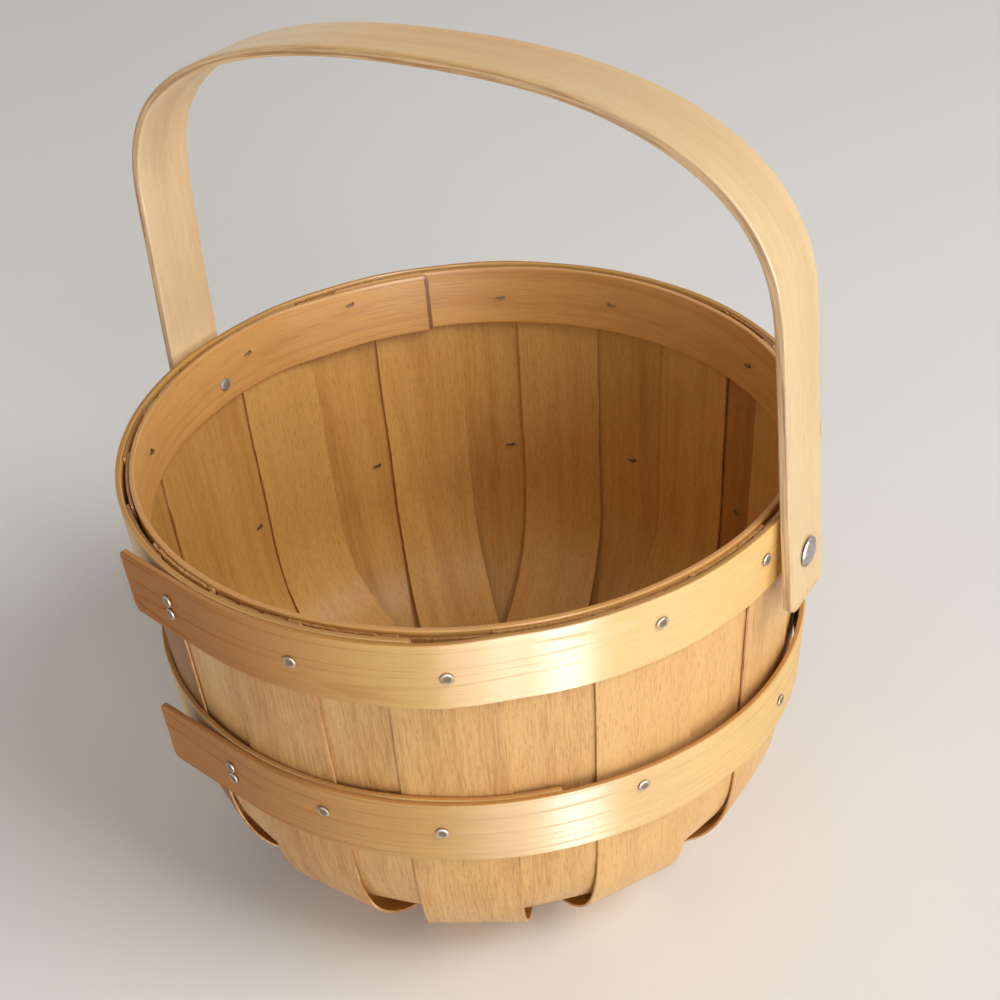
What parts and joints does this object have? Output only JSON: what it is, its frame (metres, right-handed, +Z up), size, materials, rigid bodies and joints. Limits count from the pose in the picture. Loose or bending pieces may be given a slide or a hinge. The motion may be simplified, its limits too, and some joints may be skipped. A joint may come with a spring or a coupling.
{
  "type": "round splint basket",
  "caption": "Round basket of bent veneer strips crossed under the bottom, held by tacked wooden hoops, with a swinging bent wood handle on two rivets.",
  "frame": {"origin": "middle of the underside, on the level that the basket stands on", "axes": "+Z up, +X along the handle's pivot line towards the right hand rivet, -Y towards the hoops' free ends"},
  "size_m": [0.3001, 0.2828, 0.3427],
  "materials": {
    "strip_wood": "clear satin varnish over rotary cut veneer",
    "hoop_wood": "clear satin varnish",
    "handle_wood": "thin clear varnish, paler than the hoops",
    "steel": "dull grey, lightly worn"
  },
  "bodies": {
    "basket": {"outer_strip_1": "strip_wood", "outer_strip_2": "strip_wood", "outer_strip_3": "strip_wood", "outer_strip_4": "strip_wood", "outer_strip_5": "strip_wood", "outer_strip_6": "strip_wood", "inner_strip_1": "strip_wood", "inner_strip_2": "strip_wood", "inner_strip_3": "strip_wood", "inner_strip_4": "strip_wood", "inner_strip_5": "strip_wood", "inner_strip_6": "strip_wood", "top_hoop": "hoop_wood", "lower_hoop": "hoop_wood", "inner_hoop": "hoop_wood", "top_tack_01": "steel", "top_tack_02": "steel", "top_tack_03": "steel", "top_tack_04": "steel", "top_tack_05": "steel", "top_tack_06": "steel", "top_tack_07": "steel", "top_tack_08": "steel", "top_tack_09": "steel", "top_tack_10": "steel", "top_tack_11": "steel", "top_tack_12": "steel", "top_tack_13": "steel", "lower_tack_01": "steel", "lower_tack_02": "steel", "lower_tack_03": "steel", "lower_tack_04": "steel", "lower_tack_05": "steel", "lower_tack_06": "steel", "lower_tack_07": "steel", "lower_tack_08": "steel", "lower_tack_09": "steel", "lower_tack_10": "steel", "lower_tack_11": "steel", "lower_tack_12": "steel", "lower_tack_13": "steel", "rivet_right": "steel", "rivet_left": "steel"},
    "handle": {"handle": "handle_wood"}
  },
  "joints": [
    {"name": "handle_swing", "type": "hinge", "parent": "basket", "child": "handle", "pos_m": [0, 0, 0.1727], "axis": [1, 0, 0], "range_deg": [-120, 120]}
  ]
}
